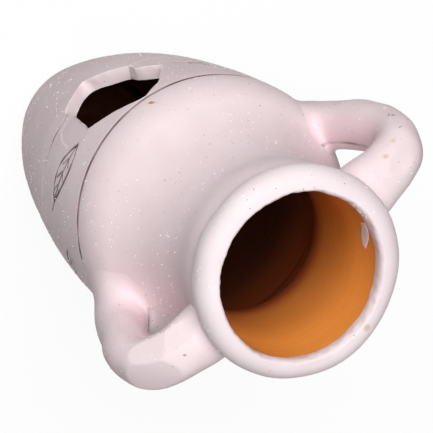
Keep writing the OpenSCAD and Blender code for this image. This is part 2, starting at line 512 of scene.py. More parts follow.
def slip_material(name, pale, deep, shadow_dot_share=0.6):
    """Pale wash: tone patches, darker dots as painted grain shadows, white specks, pinholes, and over
    them what the points carry as named values, some of them painted shade. Points marked plain
    have neither specks nor pinholes."""
    material, tree, place = start_material(name)
    tone = place_group(tree, blotches, place, Patches_per_metre=28.0, Grains_per_metre=1700.0)
    plain, pink, grain, bare, stain, incised = (
        add_node(tree, "ShaderNodeAttribute", attribute_name=label).outputs["Fac"]
        for label in ("plain", "crevice_shade", "grain", "bare", "stain", "incised")
    )
    rest = calculate(tree, "SUBTRACT", 1.0, plain)
    dotted = []
    for cells, share, radius in ((410.0, shadow_dot_share, 0.12), (520.0, 0.16, 0.14), (300.0, 0.8, 0.075)):
        layer = place_group(tree, dots, place, Cells_per_metre=cells, Share=share, Radius=radius)
        dotted.append(calculate(tree, "MULTIPLY", layer.outputs["Dots"], rest))
    shade, speck, hole = dotted
    colour = tint(tree, ramp(tree, tone.outputs["Patches"], 0.35, 0.65), pale, deep)
    layers = [
        (pink, slip_pink_shade), (shade, grain_shadow_paint), (speck, grain_white), (hole, pinhole_brown),
        (grain, grain_white), (bare, chip_brown), (stain, old_stain), (incised, line_stain),
    ]
    for share, layer_colour in layers:
        colour = tint(tree, share, layer_colour, colour)
    rough = ramp(tree, tone.outputs["Tooth"], 0.3, 0.7, 0.62, 0.78)
    height = calculate(tree, "MULTIPLY", tone.outputs["Tooth"], 0.35)
    height = calculate(tree, "ADD", height, speck)
    height = calculate(tree, "MULTIPLY_ADD", hole, -1.5, height)
    join_shader(tree, colour, rough, height, strength=0.35, distance=0.00012, shine=0.3)
    return material


slip = slip_material("pink_slip", slip_pale, slip_deep)
break_slip = slip_material("break_slip", break_pale, break_deep)
rim_slip = slip_material("rim_slip", rim_pale, rim_deep, shadow_dot_share=0.1)
print("slips:", slip.name, break_slip.name, rim_slip.name)

# %% [markdown]
# ## The bare clay
# Inside, the clay was never coated. It is a warm orange with fine level streaks from the turning
# wheel, a few pale grains and darker patches. Noise squeezed along the height makes the streaks.
# Painted shade makes it darker down the neck, brown below the throat and nearly black in the belly,
# where little light reaches, so the colour changes with height in three steps.

# %% Clay material
clay_orange = (0.87, 0.325, 0.057)
clay_patch = (0.82, 0.29, 0.047)
clay_streak = (0.65, 0.21, 0.033)
clay_grain = (0.85, 0.62, 0.42)
# Painted shade inside the vase: each darker colour is whole below its first height and gone above its
# second.
painted_depth_shade = [
    (neck_z - 4, rim_z + 5, (0.45, 0.14, 0.02)),
    (neck_z - 4, neck_z + 4, (0.30, 0.055, 0.007)),
    (seam_z - 30, seam_z, (0.08, 0.016, 0.003)),
]


def clay_material():
    """Orange earthenware: tone patches, wheel streaks from squeezed noise, pale grains, and over them
    the painted shade of the dim inside, each step whole at its lower height and gone at its upper one."""
    material, tree, place = start_material("orange_clay")
    tone = place_group(tree, blotches, place, Patches_per_metre=40.0, Grains_per_metre=2200.0)
    specks = place_group(tree, dots, place, Cells_per_metre=260.0, Share=0.07, Radius=0.06)
    squeeze = add_node(tree, "ShaderNodeMapping", in_Scale=(1.0, 1.0, 14.0))
    tree.links.new(place, squeeze.inputs["Vector"])
    streaks = add_node(tree, "ShaderNodeTexNoise", in_Scale=45.0, in_Detail=3.0, in_Roughness=0.55)
    tree.links.new(squeeze.outputs["Vector"], streaks.inputs["Vector"])
    colour = tint(tree, ramp(tree, tone.outputs["Patches"], 0.3, 0.7), clay_orange, clay_patch)
    colour = tint(tree, ramp(tree, streaks.outputs[0], 0.45, 0.75, 0.0, 0.2), clay_streak, colour)
    colour = tint(tree, specks.outputs["Dots"], clay_grain, colour)
    split = add_node(tree, "ShaderNodeSeparateXYZ")
    tree.links.new(place, split.inputs["Vector"])
    for dark_z, light_z, depth_shade in painted_depth_shade:
        depth = ramp(tree, split.outputs["Z"], dark_z * MM, light_z * MM, 1.0, 0.0)
        colour = tint(tree, depth, depth_shade, colour)
    rough = ramp(tree, streaks.outputs[0], 0.3, 0.7, 0.55, 0.7)
    height = calculate(tree, "MULTIPLY_ADD", streaks.outputs[0], 2.0, tone.outputs["Tooth"])
    join_shader(tree, colour, rough, height, strength=0.2, distance=0.0002, shine=0.35)
    return material


clay = clay_material()
print("clay:", clay.name, "in", len(painted_depth_shade), "fired steps")

# %% [markdown]
# ## Incised lines on the belly
# A band of plain leaves runs round the belly between two rings, cut while the clay was soft. The
# same leaf stands every 45 degrees, left out where the wall is broken. It is drawn once on its
# own small grid, from -1 to 1 along the midrib and across, then laid on the unrolled wall as an
# angle from the front and a height. The wall sinks where a point is close to a stroke.

# %% Strokes of the frieze
degree_mm = math.radians(1) * body_r
ring_z = seam_z - 41
ring_half = 0.7
line_half = 0.6
line_depth = 0.25
groove_half = 1.0
groove_depth = 0.45
stroke_steps = 8

leaf_edge = [(-1, 0), (-0.65, 0.6), (-0.15, 1), (0.4, 0.75), (1, 0)]
leaf_rib = [(-1, 0), (0, 0.1), (1, 0), (1.3, -0.2)]
leaf_veins = [[(-0.5, 0), (-0.25, 0.55)], [(-0.05, 0.05), (0.2, 0.6)], [(0.4, 0.05), (0.6, 0.4)]]
leaf_places = (38, 83, 128, 173, 218, 263, 308)
leaf_size = (14.0, 5.0)
leaf_z = seam_z - 20
leaf_fall = 4.5


def smooth_stroke(points):
    """Catmull-Rom curve through given points, with the same steps to each stretch."""
    p = np.asarray(points, float)
    p = np.vstack([2 * p[0] - p[1], p, 2 * p[-1] - p[-2]])
    t = np.linspace(0, 1, stroke_steps, endpoint=False)[:, None]
    a, b, c, d = p[:-3, None], p[1:-2, None], p[2:-1, None], p[3:, None]
    curve = 2 * b + (c - a) * t + (2 * a - 5 * b + 4 * c - d) * t**2 + (3 * b - a - 3 * c + d) * t**3
    return np.vstack([curve.reshape(-1, p.shape[1]) / 2, p[-2]])


def line_distance(points, line):
    """Distance of points from a chain of straight stretches: the nearest of the stretches counts,
    each measured at the foot of the perpendicular, held between its ends."""
    spot = points[..., None, :]
    start, along = line[:-1], np.diff(line, axis=0)
    share = np.clip(((spot - start) * along).sum(-1) / (along**2).sum(-1), 0, 1)
    gap = spot - start - share[..., None] * along
    return np.sqrt((gap**2).sum(-1)).min(-1)


def stroke_distance(turns, heights, stroke):
    """Distance in millimetres from points of the unrolled wall to a stroke."""
    line = smooth_stroke(stroke) * (degree_mm, 1)
    return line_distance(np.stack([turns * body_r, heights], axis=-1), line)


def frieze_strokes():
    """All strokes with their widths. A leaf point (u, v) lies at place + width u, z - fall u + tall v."""
    lines = [(leaf_edge, 1, 1.0), (leaf_edge, -1, 1.0), (leaf_rib, 1, 0.8)]
    lines += [(vein, way, 0.55) for vein in leaf_veins for way in (1, -1)]
    placed = []
    for line, way, width in lines:
        u, v = np.array(line, float).T
        heights = leaf_z - leaf_fall * u + leaf_size[1] * v * way
        for place in leaf_places:
            placed.append((np.stack([place + leaf_size[0] * u, heights], axis=1), width))
    return placed


print(len(frieze_strokes()), "strokes in the frieze")

# %% [markdown]
# ## The belly
# Rows and columns are close together only where the frieze needs them, under half a millimetre
# apart, and wide elsewhere, so the whole wall stays light. The outside climbs from the foot
# to the seam, the inside comes down again, and the loop of rows is closed.

# %% Rows and columns of the belly
fine = 0.42
coarse = 1.5
broken = 1.1
column_zones = [
    (-180, -168, fine), (-168, -158, coarse), (-158, -123, fine), (-123, -113, coarse),
    (-113, -78, fine), (-78, -68, coarse), (-68, -33, fine), (-33, 13, broken), (13, 58, fine),
    (58, 67, coarse), (67, 102, fine), (102, 112, coarse), (112, 147, fine), (147, 157, coarse),
    (157, 180, fine),
]
row_zones = [
    (foot_round + 0.4, ring_z - 1, 2.6),
    (ring_z - 1, ring_z + 1, 0.2),
    (ring_z + 1, ring_z + 7, 1.2),
    (ring_z + 7, seam_z - 9, 0.34),
    (seam_z - 9, seam_z - 1.4, 0.9),
    (seam_z - 1.4, seam_z + 0.14, 0.14),
]


def wall_turns(zones):
    """Turns through zones of (start, end, step): degrees, degrees and millimetres round the wall."""
    return np.radians(spaced([(a, b, step / degree_mm) for a, b, step in zones]))


belly_turns = wall_turns(column_zones)
belly_heights = spaced(row_zones)
print(len(belly_heights), "rows by", len(belly_turns), "columns outside")

# %% Flake beside the broken window
flake = [(15, 86), (16, 98), (17, 108), (20.5, 109), (24, 106), (28, 100), (27, 92), (24, 86)]
flake_depth = 0.32


def inside_share(turns, heights, corners, edge):
    """1 inside a closed outline on the unrolled wall, falling to 0 over the width edge along it.
    The outline is convex, so a point is as far out as it is beyond its farthest side."""
    spot = np.stack([np.degrees(turns) * degree_mm, heights], axis=-1)
    corner = np.array(corners, float) * (degree_mm, 1)
    beside = np.roll(corner, -1, axis=0)
    out = np.full(spot.shape[:-1], -1e9)
    area = np.sum(corner[:, 0] * beside[:, 1] - beside[:, 0] * corner[:, 1])
    for a, b in zip(corner, beside):
        along = (b - a) / np.hypot(*(b - a))
        normal = np.array([along[1], -along[0]]) * np.sign(area)
        out = np.maximum(out, (spot - a) @ normal)
    return 1 - soft_step(out, -edge / 2, edge / 2)


print(len(flake), "corners round the flake")

# %% Cutting rings and leaves


def ring_cut(heights, middle, half):
    """Round-bottomed ring: 1 in its middle, falling to 0 at its edges."""
    return np.clip(1 - ((heights - middle) / half) ** 2, 0, 1)


def cut_frieze(depth, stain, heights, wobble):
    """Sinks and stains the wall along each stroke, in the rows and columns that are near it."""
    margin = 2
    for stroke, width in frieze_strokes():
        low, high = stroke.min(axis=0), stroke.max(axis=0)
        middle = (low[0] + high[0]) / 2
        away = (np.degrees(belly_turns) - middle + 180) % 360 - 180
        columns = np.nonzero(np.abs(away) < (high[0] - low[0]) / 2 + margin)[0]
        rows = np.nonzero((belly_heights > low[1] - margin) & (belly_heights < high[1] + margin))[0]
        near = np.ix_(rows, columns)
        turn = np.radians(middle + away[columns]) + 0 * heights[near]
        gap = stroke_distance(turn, heights[near], stroke) / (wobble[near] * width)
        depth[near] = np.maximum(depth[near], line_depth * np.exp(-((gap / line_half) ** 2)))
        stain[near] = np.maximum(stain[near], 1 - soft_step(gap, 0.4, 0.8))


# %% Belly wall
ripple_depth = 0.18
ripple_step = 7.5


def clay_from(points, row):
    """Material of each quad of a closed grid: slip before a row and bare clay from it on."""
    rows, columns = points.shape[:2]
    return np.repeat((np.arange(rows) >= row).astype(int), columns)


def belly_wall():
    """Foot, outside with its lines and inside as one closed loop of rows, with marks and paint."""
    outside = belly_rows(belly_heights)
    turns, heights = np.meshgrid(belly_turns, belly_heights)
    flat = spin(outside, belly_turns)
    ring = ring_cut(heights, ring_z, ring_half)
    groove = ring_cut(heights, seam_z, groove_half)
    # The lower ring holds its stain to the right of the window and is faint elsewhere.
    inked = 0.2 + 0.7 * soft_step(turns, 0.2, 0.3) * (1 - soft_step(turns, 0.55, 0.8))
    worn = np.clip(0.85 + 0.3 * unevenness(flat, 9, 12), 0, 1)
    stain = np.maximum(soft_step(ring, 0.05, 0.4) * inked, soft_step(groove, 0.08, 0.45)) * worn
    depth = np.maximum(line_depth * ring, groove_depth * groove)
    cut_frieze(depth, stain, heights, 0.8 + 0.35 * unevenness(flat, 6, 11))
    flaked = inside_share(turns, heights, flake, 0.25)
    push = hand_made(flat) * soft_step(heights, 0, 10) - depth - flake_depth * flaked
    outer = spin(outside, belly_turns, push)
    inner_heights = np.linspace(seam_z, 0.2, 26)
    inside = moved_in(belly_rows(inner_heights), wall)
    ripples = ripple_depth * np.sin(inner_heights * 2 * np.pi / ripple_step)[:, None]
    inner = spin(inside, belly_turns, ripples + 0.3 * unevenness(spin(inside, belly_turns), 30, 6))
    angle = np.linspace(0, np.pi / 2, 5)[:, None]
    edge_r = foot_r - foot_round + foot_round * np.sin(angle)
    foot = round_axis(edge_r, belly_turns, foot_round * (1 - np.cos(angle)))
    points = np.concatenate([foot, outer, inner])
    others = ((len(foot), len(inner)), (0, 0))
    marks = {"incised": np.pad(stain, others), "plain": np.pad(flaked, others)}
    return points, marks, clay_from(points, len(foot) + len(outer))


belly_points, belly_marks, belly_paint = belly_wall()
belly_faces = loop_faces(belly_points)
belly = make_piece(
    "belly_wall", belly_points, belly_faces, [slip, clay], "slip_coat", ["belly"], belly_marks, belly_paint
)

# %% [markdown]
# ## The broken window
# A jagged piece of the front wall is missing. The real edges are short straight breaks with
# slightly rounded lips, coated with a fresher slip. A cutter with that outline, wider near the outer
# surface, is taken away from the belly by a Boolean. The cut faces take its material.

# %% Cutter
window_outside = [
    (-4, 121.4), (3.5, 115.5), (9, 111), (12.8, 107), (11.6, 99), (11.2, 90), (11.6, 79), (11.2, 77.3),
    (10.2, 76), (4.6, 71.1), (1.6, 68.5), (0.2, 67.5), (-0.5, 67.2), (-1.2, 67.3), (-1.9, 67.8),
    (-9.3, 76), (-13.8, 82), (-13.8, 88.8), (-17, 92), (-20, 96.4), (-18.6, 101), (-13.8, 113.5),
    (-12.4, 116), (-6, 121.6),
]
window_inside = [
    (-4, 120.6), (3.2, 114.8), (8.5, 110.4), (12, 106.4), (10.8, 99), (10.4, 89.5), (9.8, 77.8), (9.1, 75),
    (8, 73.2), (4.6, 69.9), (2.4, 68), (1, 67), (0.1, 66.6), (-0.8, 66.6), (-1.6, 67.1),
    (-7.3, 75), (-11.9, 81), (-12.4, 86.5), (-15.2, 91.2), (-17.9, 95.6), (-17, 101), (-12.6, 112.8),
    (-11.4, 115.2), (-5.6, 120.6),
]
cutter_depths = (-16, -6, -4.6, -3.2, -1.8, -0.7, -0.35, -0.1, 0.2, 6)
cutter_widens = (0, 0, 0, 0, 0, 0, 0.04, 0.12, 0.3, 0.3)
break_step = 0.9
break_rough = 0.14


def broken_lines():
    """Both outlines of the window, on the outer and the inner surface, with the same number of
    points: straight breaks between the corners, a point every step, anticlockwise seen from the
    front."""
    outer = np.array(window_outside[::-1], float)
    inner = np.array(window_inside[::-1], float)
    counts = np.hypot(*(np.roll(outer, -1, axis=0) - outer).T) / break_step
    lines = []
    for corner in (outer, inner):
        parts = []
        for a, b, count in zip(corner, np.roll(corner, -1, axis=0), np.maximum(counts.round(), 2)):
            parts.append(a + (b - a) * np.linspace(0, 1, int(count), endpoint=False)[:, None])
        lines.append(np.concatenate(parts))
    return lines


def window_cutter():
    """Tube whose stations run from the inner outline to the outer one and beyond; it widens over
    the last half millimetre so that the lip comes out rounded. Its side direction points out of
    the window."""
    line, inner_line = broken_lines()
    ahead = np.roll(line, -1, axis=0) - np.roll(line, 1, axis=0)
    side = np.stack([ahead[:, 1], -ahead[:, 0]], axis=1)
    side /= np.linalg.norm(side, axis=1, keepdims=True)
    spot = np.stack([line[:, 0], 0 * line[:, 0], line[:, 1]], axis=1)
    rings = []
    for depth, wide in zip(cutter_depths, cutter_widens):
        rough = break_rough * unevenness(spot + (0, depth, 0), 4.5, 21)
        share = np.clip(-depth / wall, 0, 1)
        flat = line + share * (inner_line - line) + side * (wide + rough)[:, None]
        reach = body_radius(flat[:, 1]) + depth
        y = -np.sqrt(np.maximum(reach**2 - flat[:, 0] ** 2, 1))
        rings.append(np.stack([flat[:, 0], y, flat[:, 1]], axis=1))
    return np.stack(rings)


cutter = mesh_object("window_cutter", *capped_tube(window_cutter()), [break_slip])
print("window cutter:", len(cutter.data.vertices), "points")

# %% Cutting


def cut_window(piece, crisp):
    """Takes the cutter away from a piece and keeps the result as the piece's own mesh."""
    modifier = piece.modifiers.new("window", "BOOLEAN")
    modifier.operation = "DIFFERENCE"
    modifier.solver = "EXACT"
    modifier.material_mode = "TRANSFER"
    modifier.object = cutter
    sight = bpy.context.evaluated_depsgraph_get()
    cut = bpy.data.meshes.new_from_object(piece.evaluated_get(sight))
    piece.modifiers.clear()
    whole = piece.data
    piece.data = cut
    cut.name = piece.name
    bpy.data.meshes.remove(whole)
    set_sharp(piece, crisp)
    print(f"{piece.name}: {len(cut.polygons)} faces after the cut")


cut_window(belly, 34)

# %% [markdown]
# ## Shoulder and neck
# One wall rises from the seam over the shoulder into the neck. The inside runs up behind the rim
# past the edge of the slip, so no joint shows in the mouth. The mouth was pulled a little wider
# and to one side. A chip just above the seam shows bare clay, with the columns close together.

# %% Rows of the shoulder
slip_edge_z = mouth_z - 4.7
clay_top_z = mouth_z - 3
neck_spread = 1.2
mouth_flare = 1.4
flare_from_z = rim_z - 8
mouth_lean = (0.73, -0.53)
lean_from_z = rim_z - 15
lean_whole_z = rim_z + 7

shoulder_turns = wall_turns([(-180, -12, 1.4), (-12, -2, 0.2), (-2, 180, 1.4)])


def shoulder_outline(end_z):
    """Rows from the seam over the round arc and the hollow arc, then straight up from end_z."""
    turn = hollow_arc(end_z)[0]
    close, wider = 1.3 / shoulder_r, 7 / shoulder_r
    near_seam = spaced([(0, close, 0.1 * close), (close, wider, 0.2 / shoulder_r)])
    rest = np.linspace(wider, turn, 22)
    upper = np.linspace(turn, 0, 36)[1:]
    neck = np.linspace(end_z, clay_top_z, 20)[1:]
    lower_rows = [round_rows(near_seam), round_rows(rest)]
    return np.concatenate([*lower_rows, hollow_rows(upper, end_z), neck_rows(neck)])


def bore_flare(heights):
    """How much wider the bore is at a height, growing towards the edge of the slip."""
    return mouth_flare * soft_step(heights, flare_from_z, slip_edge_z)


def lean_mouth(points, share=1.0):
    """Points of the bore moved sideways by the lean, growing from none in the neck."""
    moved = points.copy()
    share = share * soft_step(points[..., 2], lean_from_z, lean_whole_z)
    moved[..., :2] += share[..., None] * mouth_lean
    return moved


print(len(shoulder_outline(collar_z)), "rows by", len(shoulder_turns), "columns outside")

# %% Shoulder wall
chip = [(-5.6, 126.4), (-7.4, 126.6), (-8.2, 128.8), (-6.4, 128)]
chip_depth = 0.25
throat_ripple = 0.12
throat_step = 6


def shoulder_wall():
    """Outside with half of the seam's groove and the chip, and the inside moved in by the wall, as
    one closed loop of rows, with marks and paint."""
    outside = shoulder_outline(collar_z)
    flat = spin(outside, shoulder_turns)
    turns, heights = np.meshgrid(shoulder_turns, outside[:, 1])
    cut = ring_cut(heights, seam_z, groove_half)
    chipped = inside_share(turns, heights, chip, 0.3)
    spread = neck_spread * soft_step(heights, collar_z, rim_z)
    push = hand_made(flat) * (1 - soft_step(heights, rim_z - 8, rim_z)) + spread
    push = push - groove_depth * cut - chip_depth * chipped
    # The slip is pinker and darker on the neck behind the handles: partly pinker slip, partly painted shade
    # from the handles.
    from_side = np.abs(np.abs(turns) - np.pi / 2)
    pink = 0.4 * (1 - soft_step(from_side, 0.2, 0.9)) * soft_step(heights, seam_z + 12, neck_z)
    outer = spin(outside, shoulder_turns, push)
    inside = moved_in(shoulder_outline(neck_z)[::-2], wall)
    inner_z = inside[:, 1:2]
    ripples = throat_ripple * np.sin(inner_z * 2 * np.pi / throat_step) * soft_step(neck_z - inner_z, 2, 16)
    inner = lean_mouth(spin(inside, shoulder_turns, ripples + bore_flare(inner_z)))
    points = np.concatenate([outer, inner])
    marks = {"incised": soft_step(cut, 0.2, 0.6), "bare": chipped, "crevice_shade": pink}
    marks = {label: np.pad(values, ((0, len(inner)), (0, 0))) for label, values in marks.items()}
    return points, marks, clay_from(points, len(outer) - 1)


shoulder_points, shoulder_marks, shoulder_paint = shoulder_wall()
shoulder = make_piece(
    "shoulder_and_neck",
    shoulder_points,
    loop_faces(shoulder_points),
    [slip, clay],
    "slip_coat",
    stands_for=["shoulder", "neck"],
    marks=shoulder_marks,
    paint=shoulder_paint,
)
set_sharp(shoulder, 50)

# %% [markdown]
# ## The rolled rim
# The rim is a fat roll of clay, highest near the mouth and falling away outside. Its slip wraps
# over the lip and ends inside the mouth in a torn edge. The profile is a closed loop: up from that
# edge, over the small lip, down round the roll to the neck and back inside the clay, hidden.

# %% Profile of the rim
rim_turns = np.radians(np.arange(-180, 180, 1.0))
lip_in = bore_r + mouth_flare
lip_w = 1.1
lip_h = 2.5
lip_x = lip_in + lip_w
roll_w = rim_r - lip_x
roll_h = 6.2
roll_sunk = 1.2


def arc_rows(middle, wide, high, angles):
    """Rows on an ellipse about a middle: point and outward direction."""
    side, up = np.cos(angles), np.sin(angles)
    out = np.stack([side / wide, up / high], axis=1)
    out /= np.linalg.norm(out, axis=1, keepdims=True)
    return np.hstack([np.stack([middle[0] + wide * side, middle[1] + high * up], axis=1), out])


def rim_outline():
    """Rows: lip as a quarter ellipse, roll as an arc that ends in the neck's wall, hidden back."""
    lip_angles = np.linspace(np.pi, np.pi / 2, 12)[:-1]
    lip = arc_rows((lip_x, mouth_z - lip_h), lip_x - lip_in + 0.1, lip_h, lip_angles)
    last = -math.acos((neck_r - roll_sunk - lip_x) / roll_w)
    roll = arc_rows((lip_x, mouth_z - roll_h), roll_w, roll_h, np.linspace(np.pi / 2, last, 36))
    return np.concatenate([lip, roll, [[neck_r - roll_sunk, slip_edge_z - 1.2, 0, 0]]])


print(len(rim_outline()), "rows in the rim")

# %% Rim
roll_swells = ((0.3, 40, 8), (0.1, 13, 9))
torn_swells = ((0.35, 9, 14), (0.15, 3, 15))
torn_tilt = 0.8
torn_turn = math.radians(138)
rim_stains = [((-5.5, 25.5, 194.7), 1.6)]


def rim_roll():
    """The profile turned round the mouth, with a torn lower edge inside and a hand-made wobble. The
    lean is whole on the lip and fades down the roll."""
    rows = rim_outline()
    flat = spin(rows, rim_turns)
    # The inner side of the lip keeps still where it meets the torn edge, and has bumps instead.
    moving = np.where(rows[:, 2] < 0, rows[:, 3], 1)[:, None]
    bumps = 0.15 * (1 + unevenness(flat, 9, 16)) + 0.1 * (1 + unevenness(flat, 2.6, 17))
    push = moving * waver(flat, roll_swells) + np.clip(-rows[:, 2:3], 0, 1) * np.maximum(bumps, 0)
    on_lip = np.where(rows[:, 2] < 0, 1, np.clip(rows[:, 3], 0, 1))[:, None]
    points = lean_mouth(spin(rows, rim_turns, push), on_lip)
    low = slip_edge_z + torn_tilt * np.cos(rim_turns - torn_turn) + waver(flat[0], torn_swells)
    lower = lean_mouth(round_axis(lip_in - 0.15, rim_turns, low))
    behind = lean_mouth(round_axis(lip_in + 0.8, rim_turns, low - 0.1))
    return np.concatenate([behind[None], lower[None], points])


def spots(points, places):
    """0.6 at each of some places, given as point and radius, falling to 0 at that radius."""
    shares = [1 - soft_step(np.linalg.norm(points - spot, axis=-1), 0.3 * r, r) for spot, r in places]
    return 0.6 * np.max(shares, axis=0)


rim_points = rim_roll()
rim_marks = {"stain": spots(rim_points, rim_stains)}
rim_faces = loop_faces(rim_points, turned=True)
rim = make_piece("rolled_rim", rim_points, rim_faces, [rim_slip], "slip_coat", ["rim"], rim_marks)
set_sharp(rim, 55)

# %% [markdown]
# ## The handles
# Each handle is a fat pulled roll: out from the rim, round an elbow and down to the shoulder. Its
# middle line is a chain of straight and arcs in the plane of the handles, the same as the solid's.
# The lower root melts into the shoulder. Each line along the roll meets the body at a point; a
# Bezier curve from the roll, with that meeting point as its control, to a point further down the
# body is tangent to both, and so makes the smooth weld.

# %% Middle line of a handle
handle_r = node_box("handle_right")[1][1]
arm_z = node_box("handle_right")[1][2] - handle_r
left_reach = -node_box("handle_left")[0][0] - handle_r
right_reach = node_box("handle_right")[1][0] - handle_r
arm_sunk = 2.4
elbow_r = 14.0
elbow_past = math.radians(5)
run_in = 24.0


def handle_line(reach, root_rise):
    """Points of the middle line as (across, up) and the angle of its outward side, evenly spaced
    along it: straight arm, elbow arc, then an arc tangent to it through the root."""
    centre = np.array([reach - elbow_r, arm_z - elbow_r])
    start_x = bore_r + arm_sunk
    straight_len = centre[0] - start_x
    elbow_len = elbow_r * (np.pi / 2 + elbow_past)
    spoke = np.array([math.cos(elbow_past), -math.sin(elbow_past)])
    begin = centre + elbow_r * spoke
    root = np.array([float(body_radius(seam_z + root_rise)), seam_z + root_rise])
    chord = root - begin
    arm_r = (chord @ chord) / (2 * (chord @ -spoke))
    arm_centre = begin - arm_r * spoke
    to_root = root - arm_centre
    arm_len = arm_r * (-elbow_past - math.atan2(to_root[1], to_root[0])) + run_in
    length = straight_len + elbow_len + arm_len
    s = np.linspace(0, length, 400)
    on_elbow = np.clip((s - straight_len) / elbow_r, 0, elbow_len / elbow_r)
    on_arm = np.maximum(s - straight_len - elbow_len, 0) / arm_r
    angle = np.pi / 2 - on_elbow - on_arm
    x = np.where(on_arm > 0, arm_centre[0] + arm_r * np.cos(angle), centre[0] + elbow_r * np.cos(angle))
    z = np.where(on_arm > 0, arm_centre[1] + arm_r * np.sin(angle), centre[1] + elbow_r * np.sin(angle))
    x = np.where(s < straight_len, start_x + s, x)
    z = np.where(s < straight_len, arm_z, z)
    return s, x, z, angle


print(f"handles reach {left_reach:.1f} and {right_reach:.1f} mm, arms at {arm_z:.1f} mm")

# %% Roll
stations = [0.0, 0.07, 0.14, 0.3, 0.5, 0.75, 1.0]
around = np.linspace(0, 2 * np.pi, 96, endpoint=False)


def roll_point(line, s, thick, wide):
    """Points round the roll at length s: the middle line plus an oval whose half sizes, thick in
    the handle's plane and wide across it, change along the length."""
    length, x, z, angle = line
    px, pz, pa = (np.interp(s, length, values) for values in (x, z, angle))
    share = s / length[-1]
    out = np.interp(share, stations, thick) * np.cos(around)
    across = np.interp(share, stations, wide) * np.sin(around)
    return np.stack([px + out * np.cos(pa), across, pz + out * np.sin(pa)], axis=-1)


def outside_body(points):
    """How far points stand outside the body's wall, measured level."""
    return np.hypot(points[..., 0], points[..., 1]) - body_radius(points[..., 2])


def meeting_length(line, thick, wide):
    """Length at which each line along the roll enters the body, found by halving."""
    low = np.full(len(around), 0.55 * line[0][-1])
    high = np.full(len(around), line[0][-1])
    for _ in range(40):
        middle = (low + high) / 2
        out = outside_body(roll_point(line, middle, thick, wide)) > 0
        low = np.where(out, middle, low)
        high = np.where(out, high, middle)
    return (low + high) / 2


print(len(around), "lines along each roll")

# %% Weld
roll_rows = 150
weld_rows = 16
weld_sink = 0.12
hidden_run = 1.5
hidden_sink = 1.6
wall_share = 1.15


def on_body(points, sink, side):
    """Points moved level onto the body's uneven wall on one side, sunk by a little."""
    out = points[..., :2] / np.linalg.norm(points[..., :2], axis=-1, keepdims=True)
    height = points[..., 2:]
    wall_point = np.concatenate([out * body_radius(height), height], axis=-1)
    level = body_radius(height) + wall_share * hand_made(wall_point * (side, side, 1))[..., None] - sink
    return np.concatenate([out * level, height], axis=-1)


def handle_surface(line, thick, wide, welds, side):
    """Rows of the roll from the neck to where the weld starts, then the weld's Bezier rows, then
    a last row sunk into the wall. The weld's width goes with the squared sine round the roll from
    its width on the inner and outer lines to its widths at the front and back."""
    inner, front, back = welds
    across = np.where(side * np.sin(around) < 0, front, back)
    weld = inner + (across - inner) * np.sin(around) ** 2
    meet = meeting_length(line, thick, wide)
    roll = roll_point(line, np.linspace(0, 1, roll_rows)[:, None] * (meet - weld), thick, wide)
    control = roll_point(line, meet, thick, wide)
    away = control - control.mean(axis=0)
    normal = np.stack([control[:, 0], control[:, 1], 0 * meet], axis=-1)
    normal /= np.linalg.norm(normal, axis=1, keepdims=True)
    away -= (away * normal).sum(axis=1, keepdims=True) * normal
    away /= np.linalg.norm(away, axis=1, keepdims=True)
    end = on_body(control + weld[:, None] * away, weld_sink, side)
    t = np.linspace(0, 1, weld_rows)[1:, None, None]
    bezier = (1 - t) ** 2 * roll[-1] + 2 * t * (1 - t) * control + t**2 * end
    last = on_body(control + (weld[:, None] + hidden_run) * away, hidden_sink, side)
    return np.concatenate([roll, bezier, last[None]])


# %% Marks of the hand and the knife
crease_depth = 0.45
crease_half = 0.7


def knife_cut(points, spot, direction, reach, share):
    """Flat facet: near the spot, points beyond a plane through it are laid back by a share of the way."""
    direction = np.array(direction, float) / np.linalg.norm(direction)
    beyond = np.maximum((points - spot) @ direction, 0)
    near = 1 - soft_step(np.linalg.norm(points - spot, axis=-1), 0.7 * reach, reach)
    return points - (share * beyond * near)[..., None] * direction


def thumb_press(points, spot, push, reach):
    """Soft dent or swelling: points are pushed fully at spot and not at all beyond reach."""
    near = 1 - soft_step(np.linalg.norm(points - spot, axis=-1), 0, reach)
    return points + near[..., None] * push


def handle_piece(
    name, side, rise, reach, thick, wide, welds, presses, cuts, crease, stains, pits, stands_for
):
    """One handle: the surface, its unevenness, presses, knife facets and crease, closed ends, turned
    to its own side."""
    points = handle_surface(handle_line(reach, rise), thick, wide, welds, side)
    swell = waver(points, ((0.45, 26, 41 + side), (0.12, 9, 43 + side)))
    out = points - points.mean(axis=1, keepdims=True)
    out /= np.linalg.norm(out, axis=2, keepdims=True)
    share = np.linspace(0, 1, len(points))[:, None]
    points = points + (swell * (1 - soft_step(share, 0.85, 0.95)))[..., None] * out
    for press in presses:
        points = thumb_press(points, *press)
    for cut in cuts:
        points = knife_cut(points, *cut)
    gap = line_distance(points, smooth_stroke(crease))
    points = points - (crease_depth * np.exp(-((gap / crease_half) ** 2)))[..., None] * out
    # The crease is stained dark: partly a dark seam line, partly painted shade in the gap behind the roll.
    crease_stain_and_shade = (0.55 + 0.25 * unevenness(points, 7, 45)) * (1 - soft_step(gap, 0.2, 0.9))
    # The slip is pinker and darker on the side that faces the neck: partly pinker slip, partly painted
    # shade between handle and neck.
    inner_side_shade = soft_step(-np.cos(around), -0.2, 0.8) * (0.5 - 0.2 * soft_step(share, 0.8, 0.95))
    closed, faces = capped_tube(points, turned=True)
    closed = closed * (side, side, 1)
    at_ends = (0, 2)
    pink, lines = np.pad(inner_side_shade.ravel(), at_ends), np.pad(crease_stain_and_shade.ravel(), at_ends)
    lines = np.maximum(lines, 1.5 * spots(closed, pits))
    marks = {"crevice_shade": pink, "stain": spots(closed, stains), "incised": lines}
    return make_piece(name, closed, faces, [slip], "slip_coat", stands_for=stands_for, marks=marks)


